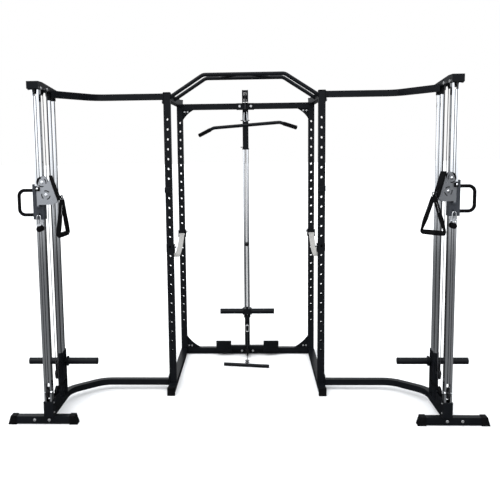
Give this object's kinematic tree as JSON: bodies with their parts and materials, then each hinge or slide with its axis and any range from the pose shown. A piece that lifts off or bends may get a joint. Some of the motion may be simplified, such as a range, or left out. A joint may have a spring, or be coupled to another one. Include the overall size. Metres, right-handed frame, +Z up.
{
  "type": "power cage with cable towers",
  "caption": "Square-tube power cage with drilled uprights, a plate-loaded lat tower at the back and a cable crossover tower on an outrigger at each side.",
  "frame": {"origin": "on the floor, at the middle of the footprint", "axes": "+X to the right seen from the front, along the longest side; +Y to the back, towards the lat tower; +Z up"},
  "size_m": [3.19, 1.8417, 2.364],
  "materials": {
    "powder_black": "black powder coat, satin",
    "chrome": "polished",
    "grey_plate": "grey powder coat, satin",
    "slate": "dark slate powder coat",
    "zinc": "zinc plated",
    "black_plastic": "moulded, fine grain",
    "rubber": "matt",
    "webbing": "woven nylon webbing",
    "foam": "foam rubber",
    "cable_black": "nylon coated steel cable",
    "nylon_wheel": "turned nylon",
    "belt": "woven nylon belt, pale grey"
  },
  "bodies": {
    "frame": {"front_upright_left": "powder_black", "front_upright_right": "powder_black", "rear_upright_left": "powder_black", "rear_upright_right": "powder_black", "base_rail_left": "powder_black", "base_rail_right": "powder_black", "top_rail_left": "powder_black", "top_rail_right": "powder_black", "upper_arm_left": "powder_black", "upper_arm_right": "powder_black", "lower_arm_left": "powder_black", "lower_arm_right": "powder_black", "column_left": "chrome", "column_right": "chrome", "tower_cable_left": "cable_black", "tower_cable_right": "cable_black", "rear_crossmembers": "powder_black", "corner_gussets": "powder_black", "pullup_bar": "powder_black", "foot_plates": "powder_black", "lat_upper_post": "powder_black", "lat_lower_post": "powder_black", "lat_guide_rods": "chrome", "tower_feet": "powder_black", "tower_guide_rods": "chrome", "lat_cables": "cable_black", "caps_and_bumpers": "black_plastic", "frame_bolts": "zinc", "idler_pulleys": "nylon_wheel"},
    "carriage_right": {"carriage_right": "powder_black"},
    "lift_pulley_right": {"lift_pulley_right": "nylon_wheel"},
    "head_pulley_right": {"head_pulley_right": "nylon_wheel"},
    "base_pulley_right": {"base_pulley_right": "nylon_wheel"},
    "trolley_right": {"trolley_right": "slate", "trolley_handle_right": "rubber", "cable_end_right": "zinc"},
    "pull_pin_right": {"pull_pin_right": "chrome"},
    "swivel_right": {"swivel_block_right": "grey_plate", "block_pulleys_right": "nylon_wheel"},
    "handle_right": {"strap_right": "webbing", "hand_grip_right": "foam"},
    "j_hook_right": {"j_hook_right": "powder_black"},
    "safety_right": {"safety_strap_right": "belt"},
    "carriage_left": {"carriage_left": "powder_black"},
    "lift_pulley_left": {"lift_pulley_left": "nylon_wheel"},
    "head_pulley_left": {"head_pulley_left": "nylon_wheel"},
    "base_pulley_left": {"base_pulley_left": "nylon_wheel"},
    "trolley_left": {"trolley_left": "slate", "trolley_handle_left": "rubber", "cable_end_left": "zinc"},
    "pull_pin_left": {"pull_pin_left": "chrome"},
    "swivel_left": {"swivel_block_left": "grey_plate", "block_pulleys_left": "nylon_wheel"},
    "handle_left": {"strap_left": "webbing", "hand_grip_left": "foam"},
    "j_hook_left": {"j_hook_left": "powder_black"},
    "safety_left": {"safety_strap_left": "belt"},
    "lat_carriage": {"lat_carriage": "powder_black"},
    "lat_bar": {"lat_bar": "powder_black"},
    "low_bar": {"low_bar": "powder_black"}
  },
  "joints": [
    {"name": "carriage_lift_right", "type": "slide", "parent": "frame", "child": "carriage_right", "axis": [0, 0, 1], "range_m": [0, 0.425], "deforming": ["tower_cable_right"]},
    {"name": "lift_pulley_spin_right", "type": "hinge", "parent": "carriage_right", "child": "lift_pulley_right", "pos_m": [1.315, -0.532, 0.275], "axis": [1, 0, 0], "range_deg": [-745, 0]},
    {"name": "head_pulley_spin_right", "type": "hinge", "parent": "frame", "child": "head_pulley_right", "pos_m": [1.315, -0.764, 2.217], "axis": [1, 0, 0], "range_deg": [0, 1490]},
    {"name": "trolley_slide_right", "type": "slide", "parent": "frame", "child": "trolley_right", "axis": [0, 0, 1], "range_m": [-0.935, 0.425]},
    {"name": "base_pulley_spin_right", "type": "hinge", "parent": "frame", "child": "base_pulley_right", "pos_m": [1.31302, -0.76406, 0.225], "axis": [0.9982, 0.0598, 0], "range_deg": [-745, 1640]},
    {"name": "pin_push_right", "type": "slide", "parent": "trolley_right", "child": "pull_pin_right", "axis": [1, 0, 0], "range_m": [0, 0.015]},
    {"name": "block_swivel_right", "type": "hinge", "parent": "trolley_right", "child": "swivel_right", "pos_m": [1.315, -0.797, 1.56], "axis": [0, 0, 1], "range_deg": [-30, 38]},
    {"name": "handle_pull_right", "type": "slide", "parent": "swivel_right", "child": "handle_right", "axis": [-0.9272, -0.3746, 0], "range_m": [0, 0.85]},
    {"name": "j_hook_pull_right", "type": "slide", "parent": "frame", "child": "j_hook_right", "axis": [0, -1, 0], "range_m": [0, 0.04]},
    {"name": "safety_release_right", "type": "slide", "parent": "frame", "child": "safety_right", "axis": [-1, 0, 0], "range_m": [0, 0.06]},
    {"name": "carriage_lift_left", "type": "slide", "parent": "frame", "child": "carriage_left", "axis": [0, 0, 1], "range_m": [0, 0.425], "deforming": ["tower_cable_left"]},
    {"name": "lift_pulley_spin_left", "type": "hinge", "parent": "carriage_left", "child": "lift_pulley_left", "pos_m": [-1.315, -0.532, 0.275], "axis": [1, 0, 0], "range_deg": [-745, 0]},
    {"name": "head_pulley_spin_left", "type": "hinge", "parent": "frame", "child": "head_pulley_left", "pos_m": [-1.315, -0.764, 2.217], "axis": [1, 0, 0], "range_deg": [0, 1490]},
    {"name": "trolley_slide_left", "type": "slide", "parent": "frame", "child": "trolley_left", "axis": [0, 0, 1], "range_m": [-0.935, 0.425]},
    {"name": "base_pulley_spin_left", "type": "hinge", "parent": "frame", "child": "base_pulley_left", "pos_m": [-1.31302, -0.76406, 0.225], "axis": [0.9982, -0.0598, 0], "range_deg": [-745, 1640]},
    {"name": "pin_push_left", "type": "slide", "parent": "trolley_left", "child": "pull_pin_left", "axis": [-1, 0, 0], "range_m": [0, 0.015]},
    {"name": "block_swivel_left", "type": "hinge", "parent": "trolley_left", "child": "swivel_left", "pos_m": [-1.315, -0.797, 1.56], "axis": [0, 0, 1], "range_deg": [-60, 8]},
    {"name": "handle_pull_left", "type": "slide", "parent": "swivel_left", "child": "handle_left", "axis": [1, 0, 0], "range_m": [0, 0.85]},
    {"name": "j_hook_pull_left", "type": "slide", "parent": "frame", "child": "j_hook_left", "axis": [0, -1, 0], "range_m": [0, 0.04]},
    {"name": "safety_release_left", "type": "slide", "parent": "frame", "child": "safety_left", "axis": [1, 0, 0], "range_m": [0, 0.06]},
    {"name": "lat_carriage_lift", "type": "slide", "parent": "frame", "child": "lat_carriage", "axis": [0, 0, 1], "range_m": [0, 0.8], "deforming": ["lat_cables"]},
    {"name": "lat_bar_pull", "type": "slide", "parent": "frame", "child": "lat_bar", "axis": [0, 0, -1], "range_m": [0, 0.8]},
    {"name": "low_bar_turn", "type": "hinge", "parent": "frame", "child": "low_bar", "pos_m": [0, 0.558, 0.019], "axis": [0, 0, 1], "range_deg": [-40, 40]}
  ],
  "couplings": [
    {"joint": "lift_pulley_spin_right", "follows": "carriage_lift_right", "rad_per_m": -30.303},
    {"joint": "head_pulley_spin_right", "follows": "carriage_lift_right", "rad_per_m": 60.606},
    {"joint": "base_pulley_spin_right", "follows": "trolley_slide_right", "rad_per_m": -30.303},
    {"joint": "handle_pull_right", "follows": "carriage_lift_right", "ratio": 2},
    {"joint": "lift_pulley_spin_left", "follows": "carriage_lift_left", "rad_per_m": -30.303},
    {"joint": "head_pulley_spin_left", "follows": "carriage_lift_left", "rad_per_m": 60.606},
    {"joint": "base_pulley_spin_left", "follows": "trolley_slide_left", "rad_per_m": -30.303},
    {"joint": "handle_pull_left", "follows": "carriage_lift_left", "ratio": 2},
    {"joint": "lat_bar_pull", "follows": "lat_carriage_lift", "ratio": 1}
  ]
}
